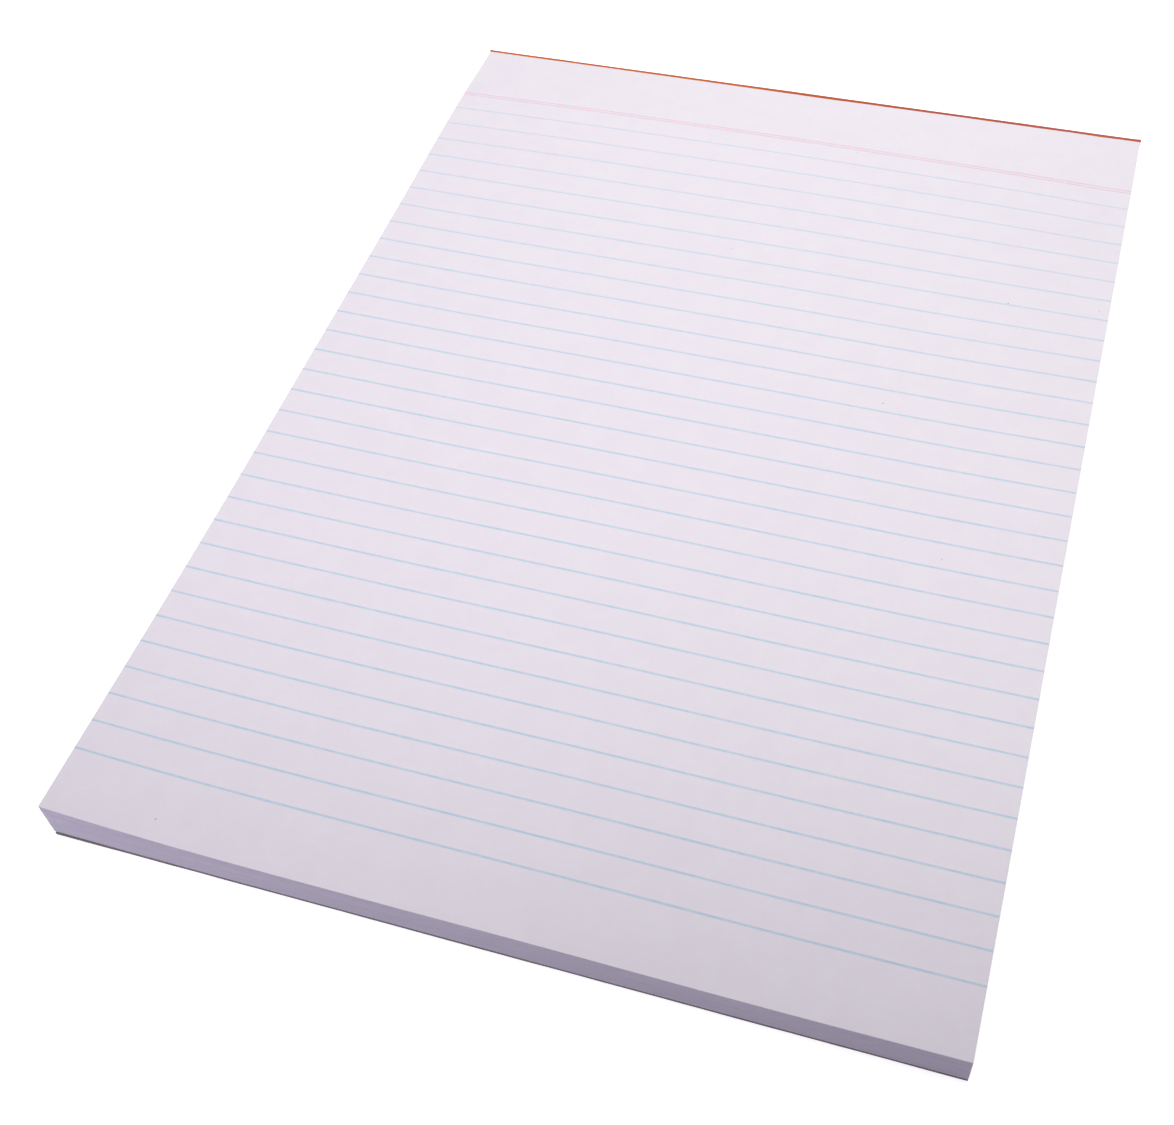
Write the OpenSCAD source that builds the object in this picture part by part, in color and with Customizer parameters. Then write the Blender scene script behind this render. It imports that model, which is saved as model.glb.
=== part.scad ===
// Ruled writing pad, gummed along its head edge, lying face up with its head toward +Y.
// The origin is the middle of the underside, and the pad rests on its backing board.

/* [Leaves] */
// Width of a leaf
sheet_w = 210; // [100:1:420]
// Length of a leaf, from foot to head
sheet_l = 297; // [140:1:600]
// Leaves in the block
leaf_count = 100; // [20:1:200]
// Thickness of a leaf
leaf_t = 0.09; // [0.06:0.01:0.2]
// Height of the parting that shows between two leaves at their open edges
parting_h = 0.02; // [0.01:0.01:0.04]
// Depth of that parting
parting_d = 0.2; // [0.05:0.05:0.5]

/* [Backing board] */
// Thickness of the greyboard
board_t = 1; // [0.4:0.1:3]

/* [Head binding] */
// Thickness of the gum film on the head faces
film_t = 0.5; // [0.2:0.1:1.2]
// Reach of the gum bead over the top leaf
lap_w = 0.6; // [0.3:0.1:2]
// Rise of the gum bead above the top leaf
bead_h = 0.3; // [0.1:0.1:0.5]

/* [Ruling] */
// Distance from one feint rule to the next
rule_pitch = 8; // [5:0.5:12]
// Width of a feint rule
rule_w = 0.4; // [0.2:0.1:0.8]
// Distance from the head to the first feint rule
head_margin = 32.5; // [20:0.5:60]
// Least free space between the last feint rule and the foot
foot_margin = 16; // [5:0.5:40]
// Height of the heading pair above the first feint rule
heading_rise = 7.7; // [4:0.1:12]
// Distance between the two heading rules
heading_pitch = 1; // [0.8:0.1:2]
// Width of a heading rule
heading_w = 0.35; // [0.2:0.05:0.6]
// Depth of the ink in the top leaf
ink_t = 0.03; // [0.01:0.01:0.05]

/* [Quality] */
// Steps in each arc of the gum film's section
arc_steps = 12; // [6:1:32]

/* [Hidden] */
block_t = leaf_count * leaf_t;
top_z = board_t + block_t;
foot_y = -(sheet_l + film_t) / 2;
head_y = foot_y + sheet_l;
overrun = leaf_t;

// Feint rules as many as fit between the two margins, counted from the head
rule_count = floor((sheet_l - head_margin - foot_margin) / rule_pitch) + 1;
rule_ys = [for (i = [0:rule_count - 1]) head_y - head_margin - i * rule_pitch];

// Heading pair, placed about its own middle line
heading_y = head_y - head_margin + heading_rise;
heading_ys = [for (side = [-1, 1]) heading_y + side * heading_pitch / 2];

// The bead is a circular segment over the film and its lap
bead_chord = film_t + lap_w;
bead_r = (bead_chord * bead_chord / 4 + bead_h * bead_h) / (2 * bead_h);
bead_mid = (film_t - lap_w) / 2;
bead_half_angle = 2 * atan(2 * bead_h / bead_chord);

// Points of an arc about a centre
function arc(centre, radius, from, to) =
    [for (i = [0:arc_steps])
        let (a = from + (to - from) * i / arc_steps)
        centre + radius * [cos(a), sin(a)]];

// Section of the gum film: thin at the underside, upright on the head, beaded over the top leaf
film_section = concat(
    arc([0, film_t], film_t, -90, 0),
    arc([bead_mid, top_z + bead_h - bead_r], bead_r, 90 - bead_half_angle, 90 + bead_half_angle),
    [[0, top_z]]
);

// A slab over the whole width and length of the leaves
module leaf_slab(base_z, thickness) {
    translate([-sheet_w / 2, foot_y, base_z])
        cube([sheet_w, sheet_l, thickness]);
}

// Straight strips across the top leaf, let into its face and longer or higher by the given extra
module strips(middles, width, extra) {
    for (y = middles)
        translate([-sheet_w / 2 - extra, y - width / 2, top_z - ink_t])
            cube([sheet_w + 2 * extra, width, ink_t + extra]);
}

// Plan of a parting: a thin border along the foot and both sides, open at the gummed head
module parting_plan() {
    difference() {
        translate([-sheet_w / 2 - overrun, foot_y - overrun])
            square([sheet_w + 2 * overrun, sheet_l + overrun - parting_d]);
        translate([-sheet_w / 2 + parting_d, foot_y + parting_d])
            square([sheet_w - 2 * parting_d, sheet_l]);
    }
}

// One parting between each leaf and the next
module leaf_partings() {
    for (i = [1:leaf_count - 1])
        translate([0, 0, board_t + i * leaf_t - parting_h / 2])
            linear_extrude(parting_h)
                parting_plan();
}

// All the leaves as one block, parted at their open edges, with a shallow seat for each printed rule
module page_block() {
    color("ghostwhite")
        difference() {
            leaf_slab(board_t, block_t);
            leaf_partings();
            strips(rule_ys, rule_w, overrun);
            strips(heading_ys, heading_w, overrun);
        }
}

// Greyboard under the leaves, cut flush with them
module backing_board() {
    color("rosybrown")
        leaf_slab(0, board_t);
}

// Red gum that holds the heads of the leaves and the board together
module head_binding() {
    color("firebrick")
        translate([-sheet_w / 2, head_y, 0])
            rotate([90, 0, 90])
                linear_extrude(sheet_w)
                    polygon(film_section);
}

// Pale blue feint rules, from edge to edge
module feint_rules() {
    color("lightskyblue")
        strips(rule_ys, rule_w, 0);
}

// Pink pair of rules under the heading space
module heading_rules() {
    color("lightpink")
        strips(heading_ys, heading_w, 0);
}

page_block();
backing_board();
head_binding();
feint_rules();
heading_rules();
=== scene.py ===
import math

import bpy
import numpy as np
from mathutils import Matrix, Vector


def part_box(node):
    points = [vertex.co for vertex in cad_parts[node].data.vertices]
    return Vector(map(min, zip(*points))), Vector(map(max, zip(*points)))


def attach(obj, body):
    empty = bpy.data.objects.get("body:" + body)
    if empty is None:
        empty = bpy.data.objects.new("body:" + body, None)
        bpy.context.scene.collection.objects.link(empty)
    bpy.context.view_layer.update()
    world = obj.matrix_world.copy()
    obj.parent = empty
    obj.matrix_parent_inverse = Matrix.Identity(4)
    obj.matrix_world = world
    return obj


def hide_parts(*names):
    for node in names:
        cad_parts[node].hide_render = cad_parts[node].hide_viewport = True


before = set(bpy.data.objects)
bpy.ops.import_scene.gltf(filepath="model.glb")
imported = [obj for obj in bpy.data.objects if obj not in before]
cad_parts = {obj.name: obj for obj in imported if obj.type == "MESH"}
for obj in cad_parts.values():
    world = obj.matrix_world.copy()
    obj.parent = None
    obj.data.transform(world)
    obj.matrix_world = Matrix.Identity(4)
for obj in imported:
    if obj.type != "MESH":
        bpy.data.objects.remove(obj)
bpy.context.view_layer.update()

MM = 0.001
rng = np.random.default_rng(41)

# Sizes taken from the frame, in metres
page_lo, page_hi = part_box("page_block")
board_lo, board_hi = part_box("backing_board")
gum_lo, gum_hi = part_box("head_binding")
LEFT, RIGHT = page_lo.x, page_hi.x
FOOT, HEAD = page_lo.y, page_hi.y
BLOCK_Z, TOP_Z = page_lo.z, page_hi.z
WIDTH, LENGTH = RIGHT - LEFT, HEAD - FOOT

# Leaves in the block, and the grid on which the face of a leaf is drawn
LEAVES = 100
LEAF = (TOP_Z - BLOCK_Z) / LEAVES
COLUMNS, ROWS = 56, 80

# Linear colours of the paper and its cut edges
PAPER = (0.883, 0.833, 0.866)
PAPER_DENSE = (0.877, 0.826, 0.861)
PAPER_THIN = (0.898, 0.849, 0.877)
PAPER_GRAIN = (0.855, 0.805, 0.844)
PAPER_DOT = (0.36, 0.29, 0.30)
PAPER_HAIR = (0.45, 0.38, 0.38)
EDGE_DARK = (0.795, 0.747, 0.808)
EDGE_LIGHT = (0.874, 0.824, 0.876)
EDGE_BAND = (0.805, 0.758, 0.818)

# Linear colours of the inks, where they are full and where they are worn
FEINT_FULL = (0.509, 0.679, 0.795)
FEINT_WORN = (0.704, 0.764, 0.835)
HEADING_FULL = (0.862, 0.50, 0.63)
HEADING_WORN = (0.876, 0.685, 0.77)

# Linear colours of the greyboard
BOARD_DARK = (0.21, 0.175, 0.155)
BOARD_LIGHT = (0.35, 0.30, 0.27)
BOARD_PATCH = (0.33, 0.30, 0.28)
BOARD_FLECK = (0.13, 0.105, 0.095)
BOARD_SLIVER = (0.56, 0.51, 0.46)

# Linear colours of the gum
GUM_DEEP = (0.37, 0.026, 0.012)
GUM_BRIGHT = (0.48, 0.047, 0.018)
GUM_POOL = (0.32, 0.021, 0.011)
# Painted light: the left end of the bead made lighter and more orange
GUM_PAINTED_LIGHT = (0.53, 0.115, 0.018)
# Painted shade: the right end of the bead made darker and cooler
GUM_PAINTED_SHADE = (0.38, 0.06, 0.08)
GUM_LAP = (0.92, 0.285, 0.045)

# Linear colours of the floor and the light
WHITE = (1.0, 1.0, 1.0)
FLOOR_BOUNCE = (0.58, 0.55, 0.62)
FLOOR_SHOWN = (0.9, 0.9, 0.9)
SKY = (0.94, 0.91, 1.08)
COOL = (0.932, 0.912, 1.11)


# Shared helpers

def smooth_noise(x, step, seed, octaves=2):
    """Smooth one-dimensional noise from -1 to 1 along x, with features about one step long."""
    out, gain, total = np.zeros_like(x, float), 1.0, 0.0
    for k in range(octaves):
        draws = np.random.default_rng(seed + 17 * k)
        place = x / step * 2 ** k
        place = place - place.min()
        knots = draws.uniform(-1, 1, int(place.max()) + 3)
        i = place.astype(int)
        f = place - i
        f = f * f * (3 - 2 * f)
        out += gain * (knots[i] * (1 - f) + knots[i + 1] * f)
        total += gain
        gain *= 0.5
    return out / total


def make_object(name, verts, faces, materials, face_slots=None, sharp=40):
    """Smooth-shaded mesh object, with creases where faces meet at more than the sharp angle in degrees."""
    mesh = bpy.data.meshes.new(name)
    mesh.from_pydata([tuple(v) for v in verts], [], faces)
    for material in materials:
        mesh.materials.append(material)
    if face_slots is not None:
        mesh.polygons.foreach_set("material_index", np.asarray(face_slots, np.int32))
    mesh.polygons.foreach_set("use_smooth", np.ones(len(mesh.polygons), bool))
    mesh.set_sharp_from_angle(angle=math.radians(sharp))
    mesh.validate()
    mesh.update()
    obj = bpy.data.objects.new(name, mesh)
    bpy.context.scene.collection.objects.link(obj)
    return obj


class Mat:
    """A node material with a few short ways to add nodes."""

    def __init__(self, name):
        self.mat = bpy.data.materials.new(name)
        self.mat.use_nodes = True
        self.tree = self.mat.node_tree
        self.bsdf = self.tree.nodes["Principled BSDF"]
        self.coord = self.node("ShaderNodeTexCoord").outputs["Object"]

    def node(self, kind, **settings):
        node = self.tree.nodes.new(kind)
        for name, value in settings.items():
            setattr(node, name, value)
        return node

    def link(self, source, socket):
        self.tree.links.new(source, socket)

    def place(self, axis):
        """Place of the shaded point along one axis of the object, in metres."""
        split = self.node("ShaderNodeSeparateXYZ")
        self.link(self.coord, split.inputs[0])
        return split.outputs[axis]

    def noise(self, size_mm, detail, rough=0.55, stretch=(1, 1, 1), offset=0.0):
        """Noise with features of a given size, some octaves of detail and a pattern that the offset picks."""
        scale = 1 / (size_mm * MM)
        mapping = self.node("ShaderNodeMapping")
        mapping.inputs["Scale"].default_value = [scale * s for s in stretch]
        self.link(self.coord, mapping.inputs["Vector"])
        noise = self.node("ShaderNodeTexNoise", noise_dimensions="4D")
        noise.inputs["W"].default_value = offset
        noise.inputs["Scale"].default_value = 1.0
        noise.inputs["Detail"].default_value = detail
        noise.inputs["Roughness"].default_value = rough
        self.link(mapping.outputs["Vector"], noise.inputs["Vector"])
        return noise.outputs["Fac"]

    def patches(self, size_mm, detail, lo=0.3, hi=0.7, **settings):
        """Noise whose range from lo to hi is spread over 0 to 1."""
        return self.ramp(self.noise(size_mm, detail, **settings), lo, hi)

    def specks(self, cell_mm, turn, inner, outer, rarity, strength):
        """Mask of lone specks in the sheet's plane, one in the middle of each chosen cell."""
        mapping = self.node("ShaderNodeMapping", vector_type="TEXTURE")
        mapping.inputs["Rotation"].default_value = (0, 0, turn)
        mapping.inputs["Scale"].default_value = (cell_mm[0] * MM, cell_mm[1] * MM, 1)
        self.link(self.coord, mapping.inputs["Vector"])
        cells = self.node("ShaderNodeTexVoronoi", voronoi_dimensions="2D")
        cells.inputs["Scale"].default_value = 1.0
        self.link(mapping.outputs["Vector"], cells.inputs["Vector"])
        pick = self.node("ShaderNodeSeparateColor")
        self.link(cells.outputs["Color"], pick.inputs["Color"])
        chosen = self.ramp(pick.outputs[0], rarity, 1.0, 0.0, strength)
        near = self.ramp(cells.outputs["Distance"], inner, outer, 1.0, 0.0)
        return self.math("MULTIPLY", near, chosen)

    def ramp(self, value, lo, hi, to_lo=0.0, to_hi=1.0):
        """Smooth step from one level to another as the value goes from lo to hi."""
        step = self.node("ShaderNodeMapRange", interpolation_type="SMOOTHSTEP")
        step.inputs["From Min"].default_value = lo
        step.inputs["From Max"].default_value = hi
        step.inputs["To Min"].default_value = to_lo
        step.inputs["To Max"].default_value = to_hi
        self.link(value, step.inputs["Value"])
        return step.outputs["Result"]

    def mix(self, share, first, second):
        """Colour that goes from the first to the second with the share."""
        mixer = self.node("ShaderNodeMix", data_type="RGBA")
        self.link(share, mixer.inputs["Factor"])
        for colour, socket in ((first, mixer.inputs[6]), (second, mixer.inputs[7])):
            if isinstance(colour, tuple):
                socket.default_value = (*colour, 1.0)
            else:
                self.link(colour, socket)
        return mixer.outputs[2]

    def tint(self, tone, colour, mask, strength):
        """The tone, turned towards a colour by the mask times a strength."""
        return self.mix(self.math("MULTIPLY", mask, strength), tone, colour)

    def math(self, operation, first, second):
        node = self.node("ShaderNodeMath", operation=operation)
        for value, socket in ((first, node.inputs[0]), (second, node.inputs[1])):
            if isinstance(value, (int, float)):
                socket.default_value = value
            else:
                self.link(value, socket)
        return node.outputs[0]

    def bump(self, height, strength, distance_mm, below=None):
        node = self.node("ShaderNodeBump")
        node.inputs["Strength"].default_value = strength
        node.inputs["Distance"].default_value = distance_mm * MM
        self.link(height, node.inputs["Height"])
        if below is not None:
            self.link(below, node.inputs["Normal"])
        return node.outputs["Normal"]

    def set(self, **inputs):
        """Fills the shader's sockets, from nodes or with plain values, and gives the material."""
        for name, value in inputs.items():
            socket = self.bsdf.inputs[name.replace("_", " ")]
            if hasattr(value, "is_output"):
                self.link(value, socket)
            else:
                socket.default_value = value
        return self.mat


# Materials

def paper_fibre(m):
    """Bump of the paper's fibres, which the ink takes on too."""
    fibre = m.noise(0.28, 4, rough=0.65, stretch=(1.0, 0.35, 1.0), offset=5.0)
    return m.bump(fibre, strength=0.25, distance_mm=0.02)


def paper_face():
    """Uncoated paper: faint clouds and grain, a few dark dots and short hairs, and a soft bump."""
    m = Mat("paper_face")
    grain = m.patches(0.9, 4, rough=0.65, offset=2.0)
    tone = m.mix(m.patches(7, 4), PAPER_DENSE, PAPER_THIN)
    tone = m.tint(tone, PAPER_GRAIN, grain, strength=0.35)
    dots = m.specks(cell_mm=(26, 29), turn=0.0, inner=0.003, outer=0.012, rarity=0.84, strength=0.8)
    tone = m.mix(dots, tone, PAPER_DOT)
    hairs = m.specks(cell_mm=(50, 3.1), turn=0.6, inner=0.008, outer=0.024, rarity=0.972, strength=0.5)
    tone = m.mix(hairs, tone, PAPER_HAIR)
    rough = m.ramp(grain, 0, 1, 0.86, 0.96)
    normal = m.bump(m.noise(3.2, 2, offset=8.0), strength=0.2, distance_mm=0.02, below=paper_fibre(m))
    return m.set(Base_Color=tone, Roughness=rough, Specular_IOR_Level=0.25, Normal=normal)


def paper_edge():
    """Cut edges of many leaves: fine streaks along them, and broader bands that are a little darker."""
    m = Mat("paper_edge")
    streak = m.patches(1.0, 3, rough=0.6, stretch=(0.03, 0.03, 5.0), lo=0.25, hi=0.75)
    band = m.patches(1.0, 2, rough=0.5, stretch=(0.012, 0.012, 0.9), offset=3.0)
    tone = m.mix(streak, EDGE_DARK, EDGE_LIGHT)
    tone = m.tint(tone, EDGE_BAND, band, strength=0.4)
    cut = m.noise(0.3, 3, offset=6.0)
    rough = m.ramp(cut, 0, 1, 0.88, 0.98)
    normal = m.bump(cut, strength=0.35, distance_mm=0.03)
    return m.set(Base_Color=tone, Roughness=rough, Specular_IOR_Level=0.15, Normal=normal)


# The ink thins from the middle of the pad to this place below its head
INK_THINNEST = 125 * MM


def ink(name, full, worn, seed, fade):
    """Ruling ink, patchy along its length and thinner towards the head by the given share."""
    m = Mat(name)
    along = m.patches(3.5, 3, rough=0.65, offset=seed)
    grain = m.patches(0.35, 3, rough=0.6, offset=seed + 3, lo=0.35, hi=0.75)
    wear = m.math("ADD", m.math("MULTIPLY", along, 0.55), m.math("MULTIPLY", grain, 0.4))
    thinner = m.ramp(m.place("Y"), 0.0, INK_THINNEST, 0.0, fade)
    tone = m.mix(thinner, m.mix(wear, full, worn), PAPER)
    rough = m.ramp(grain, 0, 1, 0.78, 0.92)
    return m.set(Base_Color=tone, Roughness=rough, Specular_IOR_Level=0.25, Normal=paper_fibre(m))


def greyboard():
    """Recycled board: long fibres, broad patches, dark flecks and pale slivers."""
    m = Mat("greyboard_stock")
    fibres = m.noise(1.6, 5, rough=0.65, stretch=(1.0, 0.4, 6.0))
    patch = m.patches(14, 3, offset=4.0)
    flecks = m.patches(0.9, 2, rough=0.5, stretch=(1.0, 0.3, 1.0), offset=9.0, lo=0.68, hi=0.74)
    slivers = m.patches(1.1, 2, rough=0.5, stretch=(0.3, 1.0, 1.0), offset=13.0, lo=0.68, hi=0.76)
    tone = m.mix(m.ramp(fibres, 0.3, 0.7), BOARD_DARK, BOARD_LIGHT)
    tone = m.tint(tone, BOARD_PATCH, patch, strength=0.35)
    tone = m.tint(tone, BOARD_FLECK, flecks, strength=0.6)
    tone = m.tint(tone, BOARD_SLIVER, slivers, strength=0.5)
    rough = m.ramp(fibres, 0.2, 0.8, 0.84, 0.97)
    normal = m.bump(fibres, strength=0.5, distance_mm=0.06)
    return m.set(Base_Color=tone, Roughness=rough, Specular_IOR_Level=0.15, Normal=normal)


# Where the gum's colour turns: down from the bead, along its two ends, which take painted light at the left
# and painted shade at the right, and across and along its lap
BEAD_ZONE = (TOP_Z - 1.0 * MM, TOP_Z)
PAINTED_LIGHT_ZONE = (-90 * MM, 10 * MM)
PAINTED_SHADE_ZONE = (20 * MM, 60 * MM)
LAP_ZONE = (gum_lo.y - 0.1 * MM, gum_lo.y + 0.65 * MM)
THIN_LAP_ZONE = (-80 * MM, 20 * MM)


def red_gum():
    """Brushed gum: deep red, in the bead lighter and warmer at the left with painted light, darker and cooler
    at the right with painted shade, and orange on its lap.
    """
    m = Mat("red_gum")
    brush = m.noise(1.4, 4, rough=0.6, stretch=(0.05, 1.0, 1.0))
    brushed = m.ramp(brush, 0.3, 0.7)
    pool = m.patches(16, 3, offset=3.0)
    tone = m.mix(brushed, GUM_DEEP, GUM_BRIGHT)
    tone = m.tint(tone, GUM_POOL, pool, strength=0.35)
    bead = m.ramp(m.place("Z"), *BEAD_ZONE, 0.06, 1.0)
    # Painted light: the bead's left end is tinted lighter and more orange, as if lit from the left
    left = m.ramp(m.place("X"), *PAINTED_LIGHT_ZONE, 0.45, 0.0)
    tone = m.tint(tone, GUM_PAINTED_LIGHT, left, strength=bead)
    # Painted shade: the bead's right end is tinted darker and cooler, as if in less light
    right = m.ramp(m.place("X"), *PAINTED_SHADE_ZONE, 0.0, 0.5)
    tone = m.tint(tone, GUM_PAINTED_SHADE, right, strength=bead)
    lap = m.ramp(m.place("Y"), *LAP_ZONE, 1.0, 0.0)
    thin = m.ramp(m.place("X"), *THIN_LAP_ZONE, 1.0, 0.35)
    tone = m.tint(tone, GUM_LAP, lap, strength=thin)
    rough = m.ramp(brushed, 0, 1, 0.42, 0.6)
    leaf_lines = m.noise(1.0, 2, rough=0.6, stretch=(0.02, 0.02, 6.0), offset=5.0)
    normal = m.bump(leaf_lines, strength=0.6, distance_mm=0.05)
    normal = m.bump(brush, strength=0.3, distance_mm=0.08, below=normal)
    return m.set(Base_Color=tone, Roughness=rough, Specular_IOR_Level=0.2, Normal=normal)


# Lie of the leaves, in millimetres: rises and depths, and where they lie across the pad and up from its foot

# A low swell below the gummed head, which holds the leaves flat beside it
SWELL_RISE = 1.9
SWELL_UP, SWELL_REACH = 262, 34
SWELL_ACROSS, SWELL_HALF_WIDTH = -20, 118
HELD_LENGTH = 20

# The left edge rolls up a little and curls up at the foot, where the lowest leaf takes a share of the curl
ROLL_START, ROLL_WIDTH = 40, 65
ROLL_RISE, ROLL_FADE = 0.55, 90
CURL_RISE, CURL_LENGTH = 2.4, 110
CURL_POWER_ACROSS, CURL_POWER_ALONG = 2.2, 1.6
CURL_SHARE_BELOW = 0.3

# The right half sags, and two slight waves, given by their lengths of one radian, run over all of it
SAG_DEPTH = 0.5
SAG_ACROSS, SAG_REACH = 65, 40
SAG_END, SAG_FADE = 250, 80
WAVE_RISE = 0.035
FIRST_WAVE_ACROSS, FIRST_WAVE_UP = 11.0, 37.0
SECOND_WAVE_ACROSS, SECOND_WAVE_UP, SECOND_WAVE_START = 23.0, -17.0, 1.3


def rolled(x):
    """Share of the roll at a place across the pad: all of it at the left edge, none in the middle."""
    return np.clip((-x / MM - ROLL_START) / ROLL_WIDTH, 0, 1)


def curl(x, y):
    """Height of the curl at the foot's left corner, in metres."""
    along = np.clip(1 - (y - FOOT) / MM / CURL_LENGTH, 0, 1)
    return CURL_RISE * MM * rolled(x) ** CURL_POWER_ACROSS * along ** CURL_POWER_ALONG


def relief(x, y):
    """Height of the top leaf over its flat place, in metres."""
    across, up, span = x / MM, (y - FOOT) / MM, LENGTH / MM
    free = np.clip((span - up) / HELD_LENGTH, 0, 1)
    arch = np.clip(1 - ((across - SWELL_ACROSS) / SWELL_HALF_WIDTH) ** 2, 0, 1)
    swell = SWELL_RISE * np.exp(-((up - SWELL_UP) / SWELL_REACH) ** 2) * arch * free
    roll = ROLL_RISE * rolled(x) ** 2 * np.clip((span - up) / ROLL_FADE, 0, 1)
    sag = SAG_DEPTH * np.exp(-((across - SAG_ACROSS) / SAG_REACH) ** 2)
    sag = sag * np.clip((SAG_END - up) / SAG_FADE, 0, 1)
    waves = np.sin(across / FIRST_WAVE_ACROSS + up / FIRST_WAVE_UP)
    waves = waves + np.sin(across / SECOND_WAVE_ACROSS + up / SECOND_WAVE_UP + SECOND_WAVE_START)
    return (swell + roll - sag + WAVE_RISE * waves * free) * MM + curl(x, y)


xs = np.linspace(LEFT, RIGHT, COLUMNS + 1)
ys = np.linspace(FOOT, HEAD, ROWS + 1)
grid_x, grid_y = np.meshgrid(xs, ys, indexing="ij")
grid_lift = relief(grid_x, grid_y)
grid_top = TOP_Z + grid_lift
grid_under = BLOCK_Z + CURL_SHARE_BELOW * curl(grid_x, grid_y)

# Grid places round the outline, from the foot's left end and anticlockwise
ring = [(i, 0) for i in range(COLUMNS)] + [(COLUMNS, j) for j in range(ROWS)]
ring += [(i, ROWS) for i in range(COLUMNS, 0, -1)] + [(0, j) for j in range(ROWS, 0, -1)]
ring_i = np.array([place[0] for place in ring])
ring_j = np.array([place[1] for place in ring])
RING = len(ring)
ring_x, ring_y = xs[ring_i], ys[ring_j]
out_x = (ring_i == COLUMNS).astype(float) - (ring_i == 0)
at_foot = (ring_j == 0).astype(float)


def bands(levels):
    """Quads between successive rings of vertices."""
    quads = []
    for k in range(levels - 1):
        a, b = k * RING, (k + 1) * RING
        for r in range(RING):
            s = (r + 1) % RING
            quads.append((a + r, a + s, b + s, b + r))
    return quads


# Leaves: partings that run out before the gummed head, and leaves that lie a little out of line
FACE_SLOT, EDGE_SLOT = 0, 1
PARTING_HALF_HEIGHT = 0.008 * MM
PARTING_DEPTH = 0.16 * MM
PARTING_RUN_OUT = 6 * MM
DRIFT_MM = 0.012
STRAY_X_MM, STRAY_Y_MM = 0.03, 0.035
FOOT_WAVE_MM = 0.02
LIFT_POWER, SWAY_POWER = 1.6, 0.7


def places_in_stack(stray_mm):
    """Offset of each leaf along one axis: a slow drift up the stack and a little of its own, none on top."""
    offsets = np.cumsum(rng.normal(0, DRIFT_MM, LEAVES)) + rng.normal(0, stray_mm, LEAVES)
    offsets = (offsets - offsets.mean()) * MM
    offsets[-1] = 0.0
    return offsets


def leaf_stack():
    """All the leaves: flat cut edges, parted from each other, none quite in line with the next."""
    shift_x = places_in_stack(STRAY_X_MM)
    shift_y = places_in_stack(STRAY_Y_MM)
    under = grid_under[ring_i, ring_j]
    # The lowest leaf stands on the underside, and the leaves above it share the rest of the top leaf's lift
    lift = grid_lift[ring_i, ring_j] - (under - BLOCK_Z)
    lift_share = (np.arange(1, LEAVES + 1) / LEAVES) ** LIFT_POWER
    sway = np.clip((HEAD - ring_y) / LENGTH, 0, 1) ** SWAY_POWER
    parted = np.clip((HEAD - ring_y) / PARTING_RUN_OUT, 0, 1)
    verts = []

    def base(i):
        """Height of a leaf's lower face round the outline."""
        return under + i * LEAF + lift_share[i] * lift

    def add_ring(dx, dy, z, inset):
        x = ring_x + dx * sway - out_x * inset * parted
        y = ring_y + at_foot * (dy + inset)
        verts.append(np.stack([x, y, z], 1))

    for i in range(LEAVES):
        wave = smooth_noise(ring_x + ring_y, step=0.06, seed=300 + i)
        dy = shift_y[i] + wave * FOOT_WAVE_MM * MM
        low = base(i) + PARTING_HALF_HEIGHT if i else under
        add_ring(shift_x[i], dy, low, inset=0.0)
        if i < LEAVES - 1:
            add_ring(shift_x[i], dy, base(i) + LEAF - PARTING_HALF_HEIGHT, inset=0.0)
            middle_x = 0.5 * (shift_x[i] + shift_x[i + 1])
            middle_y = 0.5 * (shift_y[i] + shift_y[i + 1])
            middle_z = 0.5 * (base(i) + LEAF + base(i + 1))
            add_ring(middle_x, middle_y, middle_z, inset=PARTING_DEPTH)
    verts.append(np.stack([ring_x, ring_y, grid_top[ring_i, ring_j]], 1))
    levels = len(verts)
    faces = bands(levels)
    slots = [EDGE_SLOT] * len(faces)

    # Top and underside as grids whose borders are the last ring and the first
    inner = np.s_[1:COLUMNS, 1:ROWS]
    for level, height, slot in ((levels - 1, grid_top, FACE_SLOT), (0, grid_under, EDGE_SLOT)):
        number = np.empty((COLUMNS + 1, ROWS + 1), int)
        number[ring_i, ring_j] = level * RING + np.arange(RING)
        start = sum(len(v) for v in verts)
        number[inner] = start + np.arange((COLUMNS - 1) * (ROWS - 1)).reshape(COLUMNS - 1, ROWS - 1)
        verts.append(np.stack([grid_x[inner], grid_y[inner], height[inner]], 2).reshape(-1, 3))
        for i in range(COLUMNS):
            for j in range(ROWS):
                quad = (number[i, j], number[i + 1, j], number[i + 1, j + 1], number[i, j + 1])
                faces.append(quad if slot == FACE_SLOT else quad[::-1])
                slots.append(slot)
    faces = [tuple(int(v) for v in face) for face in faces]
    return make_object("leaves", np.concatenate(verts), faces, [paper_face(), paper_edge()], slots)


# Printed rules: the film of ink lies a little into the paper and a little above it
INK_LOW, INK_HIGH = -0.010 * MM, 0.014 * MM
RULE_WOBBLE_MM, RULE_UNEVEN = 0.02, 0.08
FEINT_BLEED, HEADING_BLEED = 1.3, 0.95
FEINT_FADE, HEADING_FADE = 0.40, 0.05


def rule_places(node):
    """Middle and width of each strip in a CAD node, from foot to head."""
    co = np.array([v.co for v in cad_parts[node].data.vertices])
    edges = np.unique(np.round(co[:, 1], 6))
    return [((a + b) / 2, b - a) for a, b in zip(edges[0::2], edges[1::2])]


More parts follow.
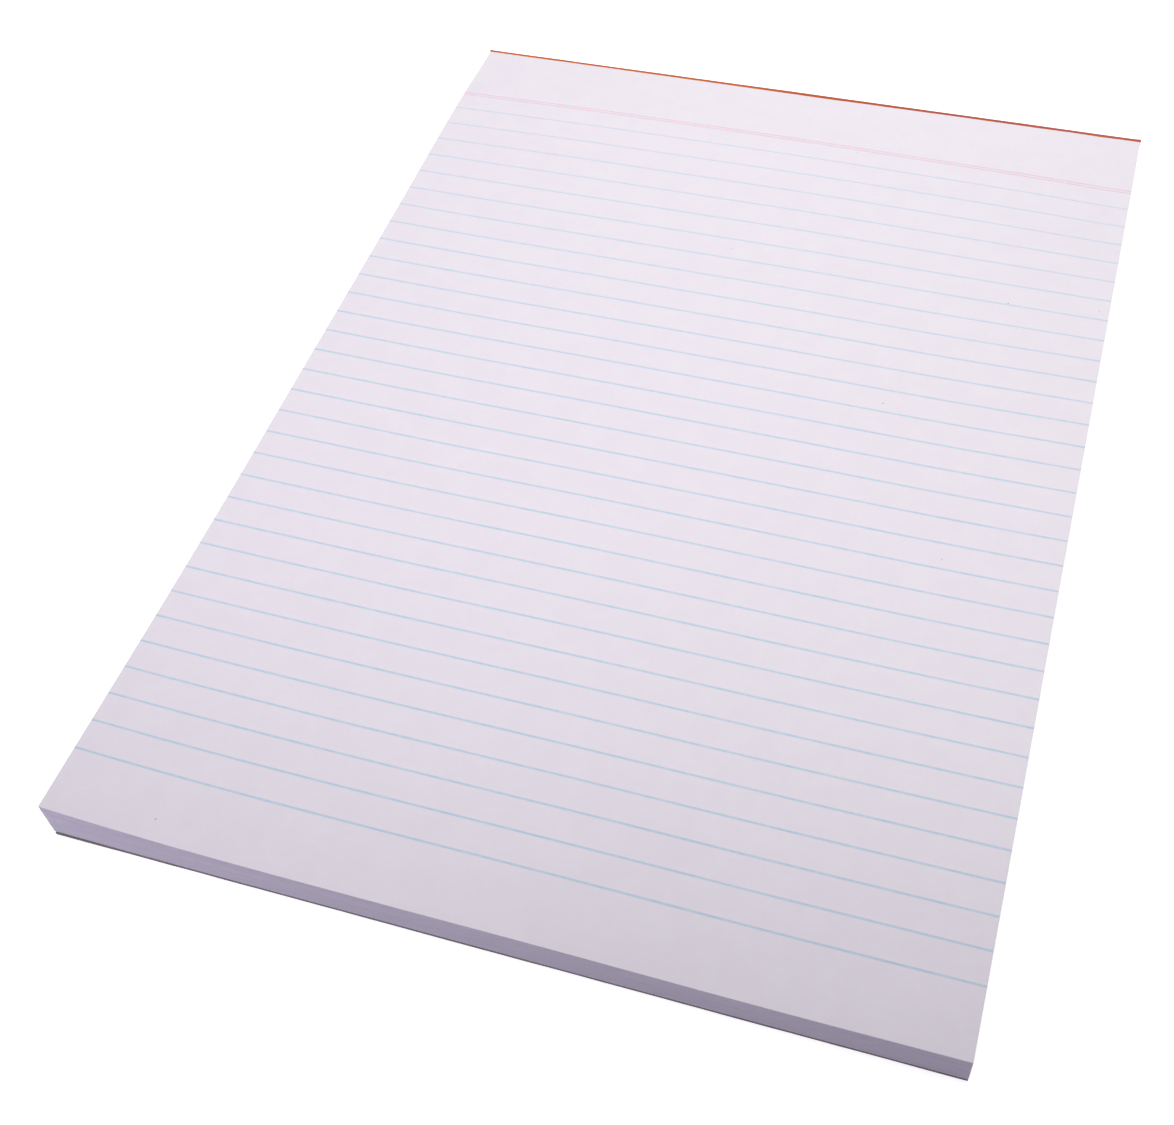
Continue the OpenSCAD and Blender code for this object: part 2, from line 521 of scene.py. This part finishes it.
def printed_rules(name, node, material, seed, bleed):
    """Thin films of ink that lie on the top leaf and follow it from edge to edge."""
    corners = ((-1, INK_LOW), (1, INK_LOW), (1, INK_HIGH), (-1, INK_HIGH))
    count = len(corners)
    verts, faces = [], []
    for n, (mid, width) in enumerate(rule_places(node)):
        first = len(verts)
        wobble = smooth_noise(xs - LEFT, step=0.02, seed=seed + n) * RULE_WOBBLE_MM * MM
        uneven = smooth_noise(xs - LEFT, step=0.012, seed=seed + 50 + n) * RULE_UNEVEN
        spread = width / 2 * (bleed + uneven)
        for c, x in enumerate(xs):
            for side, height in corners:
                y = mid + wobble[c] + side * spread[c]
                verts.append((x, y, np.interp(y, ys, grid_top[c]) + height))
        for c in range(COLUMNS):
            a, b = first + count * c, first + count * (c + 1)
            for q in range(count):
                s = (q + 1) % count
                faces.append((a + s, b + s, b + q, a + q))
        last = first + count * COLUMNS
        faces.append(tuple(range(first + count - 1, first - 1, -1)))
        faces.append(tuple(range(last, last + count)))
    return make_object(name, verts, faces, [material])


# Board
LOWER_BEVEL = 0.09 * MM
UPPER_BEVEL = 0.6 * LOWER_BEVEL
BOARD_ROUGH = 0.05 * MM


def board():
    """Greyboard with softened, slightly uneven cut edges."""
    along = np.arange(RING) * (WIDTH + LENGTH) * 2 / RING
    rough = BOARD_ROUGH * smooth_noise(along, step=0.006, seed=7, octaves=3)
    # The noise ends as it began, so that it closes round the outline
    rough[-1] = rough[0]
    low, high = board_lo.z, board_hi.z
    section = ((low, LOWER_BEVEL), (low + LOWER_BEVEL, 0.0), (high - LOWER_BEVEL, 0.0), (high, UPPER_BEVEL))
    verts = []
    for z, inset in section:
        x = ring_x + out_x * (rough - inset)
        y = ring_y - at_foot * (rough - inset)
        verts.append(np.stack([x, y, np.full(RING, z)], 1))
    faces = bands(len(section))
    top = (len(section) - 1) * RING
    faces.append(tuple(range(RING - 1, -1, -1)))
    faces.append(tuple(range(top, top + RING)))
    return make_object("board", np.concatenate(verts), faces, [greyboard()])


# Gum: how full the bead is at places along the head, in millimetres from its middle
BEAD_PLACES = (-105, -60, -20, 7, 33, 105)
BEAD_FULLNESS = (0.70, 0.76, 1.10, 1.46, 1.00, 1.16)
FLAT_CROWN, FULL_CROWN = 0.4, 0.6
FILM_UNEVEN, REACH_UNEVEN, CROWN_UNEVEN = 0.10, 0.22, 0.16

# Lumps at the two ends of the gum, and how far they bulge past the leaves
END_LUMP, END_LENGTH, END_BULGE = 0.14 * MM, 0.4 * MM, 0.10 * MM
LUMP_RISE_SHARE = 0.5

# Ripples on the head: half their height, the length of one radian, their sway, and the steps of one run
RIPPLE, RIPPLE_RADIAN, RIPPLE_SWAY, RIPPLE_RUN = 0.0175 * MM, 0.9 * MM, 3, 8

# Steps along the head, and points in each stretch of the gum's section
GUM_STEPS = 168
ROUND_POINTS, WALL_POINTS, BEAD_POINTS = 7, 26, 13


def gum_section(film, reach, crown, k):
    """Outline of the gum at one place along the head: a round foot, a rippled wall and the bead on top."""
    turn = np.linspace(0, math.pi / 2, ROUND_POINTS)
    points = [(film * math.sin(a), film - film * math.cos(a)) for a in turn]
    wall = np.linspace(film, TOP_Z, WALL_POINTS)[1:-1]
    sway = smooth_noise(wall, step=0.002, seed=60 + k // RIPPLE_RUN)
    ripples = RIPPLE * np.sin(wall / RIPPLE_RADIAN + RIPPLE_SWAY * sway)
    points += [(film + ripple, z) for ripple, z in zip(ripples, wall)]
    chord = film + reach
    radius = (chord ** 2 / 4 + crown ** 2) / (2 * crown)
    half = 2 * math.atan(2 * crown / chord)
    middle = (film - reach) / 2
    for a in np.linspace(math.pi / 2 - half, math.pi / 2 + half, BEAD_POINTS):
        points.append((middle + radius * math.cos(a), TOP_Z + crown - radius + radius * math.sin(a)))
    points.append((0.0, TOP_Z))
    return points


def gum_film():
    """Brushed gum: thin at the underside, upright on the head, beaded over the edge of the top leaf."""
    along = np.linspace(LEFT, RIGHT, GUM_STEPS + 1)
    d = along - LEFT
    full = np.interp(along / MM, BEAD_PLACES, BEAD_FULLNESS)
    film_noise = smooth_noise(d, step=0.012, seed=21, octaves=3)
    reach_noise = smooth_noise(d, step=0.009, seed=33, octaves=3)
    crown_noise = smooth_noise(d, step=0.010, seed=45, octaves=3)
    film = (gum_hi.y - HEAD) * (1 + FILM_UNEVEN * film_noise)
    reach = (HEAD - gum_lo.y) * (full + REACH_UNEVEN * reach_noise)
    crown = (gum_hi.z - TOP_Z) * (FLAT_CROWN + FULL_CROWN * full + CROWN_UNEVEN * crown_noise)
    lump = END_LUMP * np.exp(-np.minimum(d, d[-1] - d) / END_LENGTH)
    bulge = np.zeros(GUM_STEPS + 1)
    bulge[0], bulge[-1] = -END_BULGE, END_BULGE
    verts, faces = [], []
    for k, x in enumerate(along):
        section = gum_section(film[k] + lump[k], reach[k], crown[k] + LUMP_RISE_SHARE * lump[k], k)
        verts += [(x + bulge[k], HEAD + y, z) for y, z in section]
    count = len(section)
    for k in range(GUM_STEPS):
        a, b = k * count, (k + 1) * count
        for q in range(count):
            s = (q + 1) % count
            faces.append((a + s, b + s, b + q, a + q))
    faces.append(tuple(range(count - 1, -1, -1)))
    faces.append(tuple(range(GUM_STEPS * count, GUM_STEPS * count + count)))
    return make_object("gum_film", verts, faces, [red_gum()], sharp=50)


# Every piece rides on the one body and takes the place of its CAD node

def dress(obj, slot, *nodes):
    """Puts a piece on the body, in place of its nodes; the slot it is given is not used."""
    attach(obj, "root")
    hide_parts(*nodes)


dress(leaf_stack(), "paper", "page_block")
dress(board(), "greyboard", "backing_board")
dress(gum_film(), "gum", "head_binding")
blue = ink("feint_print", FEINT_FULL, FEINT_WORN, seed=11.0, fade=FEINT_FADE)
pink = ink("heading_print", HEADING_FULL, HEADING_WORN, seed=23.0, fade=HEADING_FADE)
feint = printed_rules("feint_lines", "feint_rules", blue, seed=500, bleed=FEINT_BLEED)
heading = printed_rules("heading_lines", "heading_rules", pink, seed=700, bleed=HEADING_BLEED)
dress(feint, "feint_ink", "feint_rules")
dress(heading, "heading_ink", "heading_rules")


# Floor and world: white where they are seen, and dimmer where they only light the pad
FLOOR_HALF, FLOOR_Z = 4.0, -0.03 * MM
GLOW_START, GLOW_END = 0.25, 0.9
GLOW_NEAR, GLOW_FAR = 0.71, 0.84
SKY_STRENGTH = 0.2


def background_seen(tree):
    """Socket that is 1 for rays that show the background: directly, by reflection or through glass."""
    path = tree.nodes.new("ShaderNodeLightPath")
    seen = path.outputs["Is Camera Ray"]
    for kind in ("Is Glossy Ray", "Is Transmission Ray"):
        either = tree.nodes.new("ShaderNodeMath")
        either.operation = "MAXIMUM"
        tree.links.new(seen, either.inputs[0])
        tree.links.new(path.outputs[kind], either.inputs[1])
        seen = either.outputs[0]
    return seen


def pick_by_ray(tree, lighting, shown, output):
    """Sends one shader to the rays that light the pad and another to those that show the background."""
    pick = tree.nodes.new("ShaderNodeMixShader")
    tree.links.new(background_seen(tree), pick.inputs[0])
    tree.links.new(lighting.outputs[0], pick.inputs[1])
    tree.links.new(shown.outputs[0], pick.inputs[2])
    tree.links.new(pick.outputs[0], tree.nodes[output].inputs["Surface"])


def floor_material():
    """Pale floor that keeps the pad's shadow and is lifted to white for the camera."""
    m = Mat("studio_floor")
    m.tree.nodes.remove(m.bsdf)
    plain = m.node("ShaderNodeBsdfDiffuse")
    plain.inputs["Color"].default_value = (*FLOOR_BOUNCE, 1)
    pale = m.node("ShaderNodeBsdfDiffuse")
    pale.inputs["Color"].default_value = (*FLOOR_SHOWN, 1)
    far = m.node("ShaderNodeVectorMath", operation="LENGTH")
    m.link(m.coord, far.inputs[0])
    glow = m.node("ShaderNodeEmission")
    strength = m.ramp(far.outputs["Value"], GLOW_START, GLOW_END, GLOW_NEAR, GLOW_FAR)
    m.link(strength, glow.inputs["Strength"])
    both = m.node("ShaderNodeAddShader")
    m.link(pale.outputs[0], both.inputs[0])
    m.link(glow.outputs[0], both.inputs[1])
    pick_by_ray(m.tree, plain, both, "Material Output")
    return m.mat


floor_corners = [(-1, -1), (1, -1), (1, 1), (-1, 1)]
floor_verts = [(FLOOR_HALF * x, FLOOR_HALF * y, FLOOR_Z) for x, y in floor_corners]
floor = make_object("floor", floor_verts, [(0, 1, 2, 3)], [floor_material()])

world = bpy.data.worlds.new("studio")
world.use_nodes = True
bpy.context.scene.world = world
sky = world.node_tree.nodes["Background"]
sky.inputs["Color"].default_value = (*SKY, 1)
sky.inputs["Strength"].default_value = SKY_STRENGTH
backdrop = world.node_tree.nodes.new("ShaderNodeBackground")
backdrop.inputs["Color"].default_value = (*WHITE, 1)
backdrop.inputs["Strength"].default_value = 1.0
pick_by_ray(world.node_tree, sky, backdrop, "World Output")


# Lamps and camera, in metres

def soft_lamp(name, place, target, size, watts, colour):
    """Rectangular lamp at a place, turned towards its target."""
    data = bpy.data.lights.new(name, "AREA")
    data.shape = "RECTANGLE"
    data.size, data.size_y = size
    data.energy = watts
    data.color = colour
    lamp = bpy.data.objects.new(name, data)
    aim = np.array(target) - np.array(place)
    yaw = math.atan2(aim[1], aim[0])
    pitch = math.atan2(-aim[2], math.hypot(aim[0], aim[1]))
    lamp.location = place
    lamp.rotation_euler = (math.pi / 2 - pitch, 0.0, yaw - math.pi / 2)
    bpy.context.scene.collection.objects.link(lamp)


soft_lamp("key", (0.02, 0.567, 0.638), (0.0, 0.10, 0.0), size=(0.5, 0.4), watts=4.09, colour=WHITE)
soft_lamp("top", (0.042, -0.093, 0.35), (-0.09, 1.0, 0.0), size=(0.4, 0.4), watts=0.68, colour=WHITE)
soft_lamp("fill", (-0.49, -0.367, 0.175), (-0.05, -0.148, 0.0), size=(0.3, 0.3), watts=1.52, colour=COOL)

CAMERA_PLACE = (0.0910, -0.27988, 0.32711)
CAMERA_TURN_DEG = (38.1617, 3.1729, 17.2201)

camera_data = bpy.data.cameras.new("camera")
camera_data.sensor_fit = "HORIZONTAL"
camera_data.sensor_width = 36.0
camera_data.lens = 50.0
camera_data.shift_x = -0.0281
camera_data.clip_start = 0.01
camera = bpy.data.objects.new("camera", camera_data)
camera.location = CAMERA_PLACE
camera.rotation_euler = [math.radians(turn) for turn in CAMERA_TURN_DEG]
bpy.context.scene.collection.objects.link(camera)
bpy.context.scene.camera = camera
bpy.context.scene.view_settings.view_transform = "Standard"
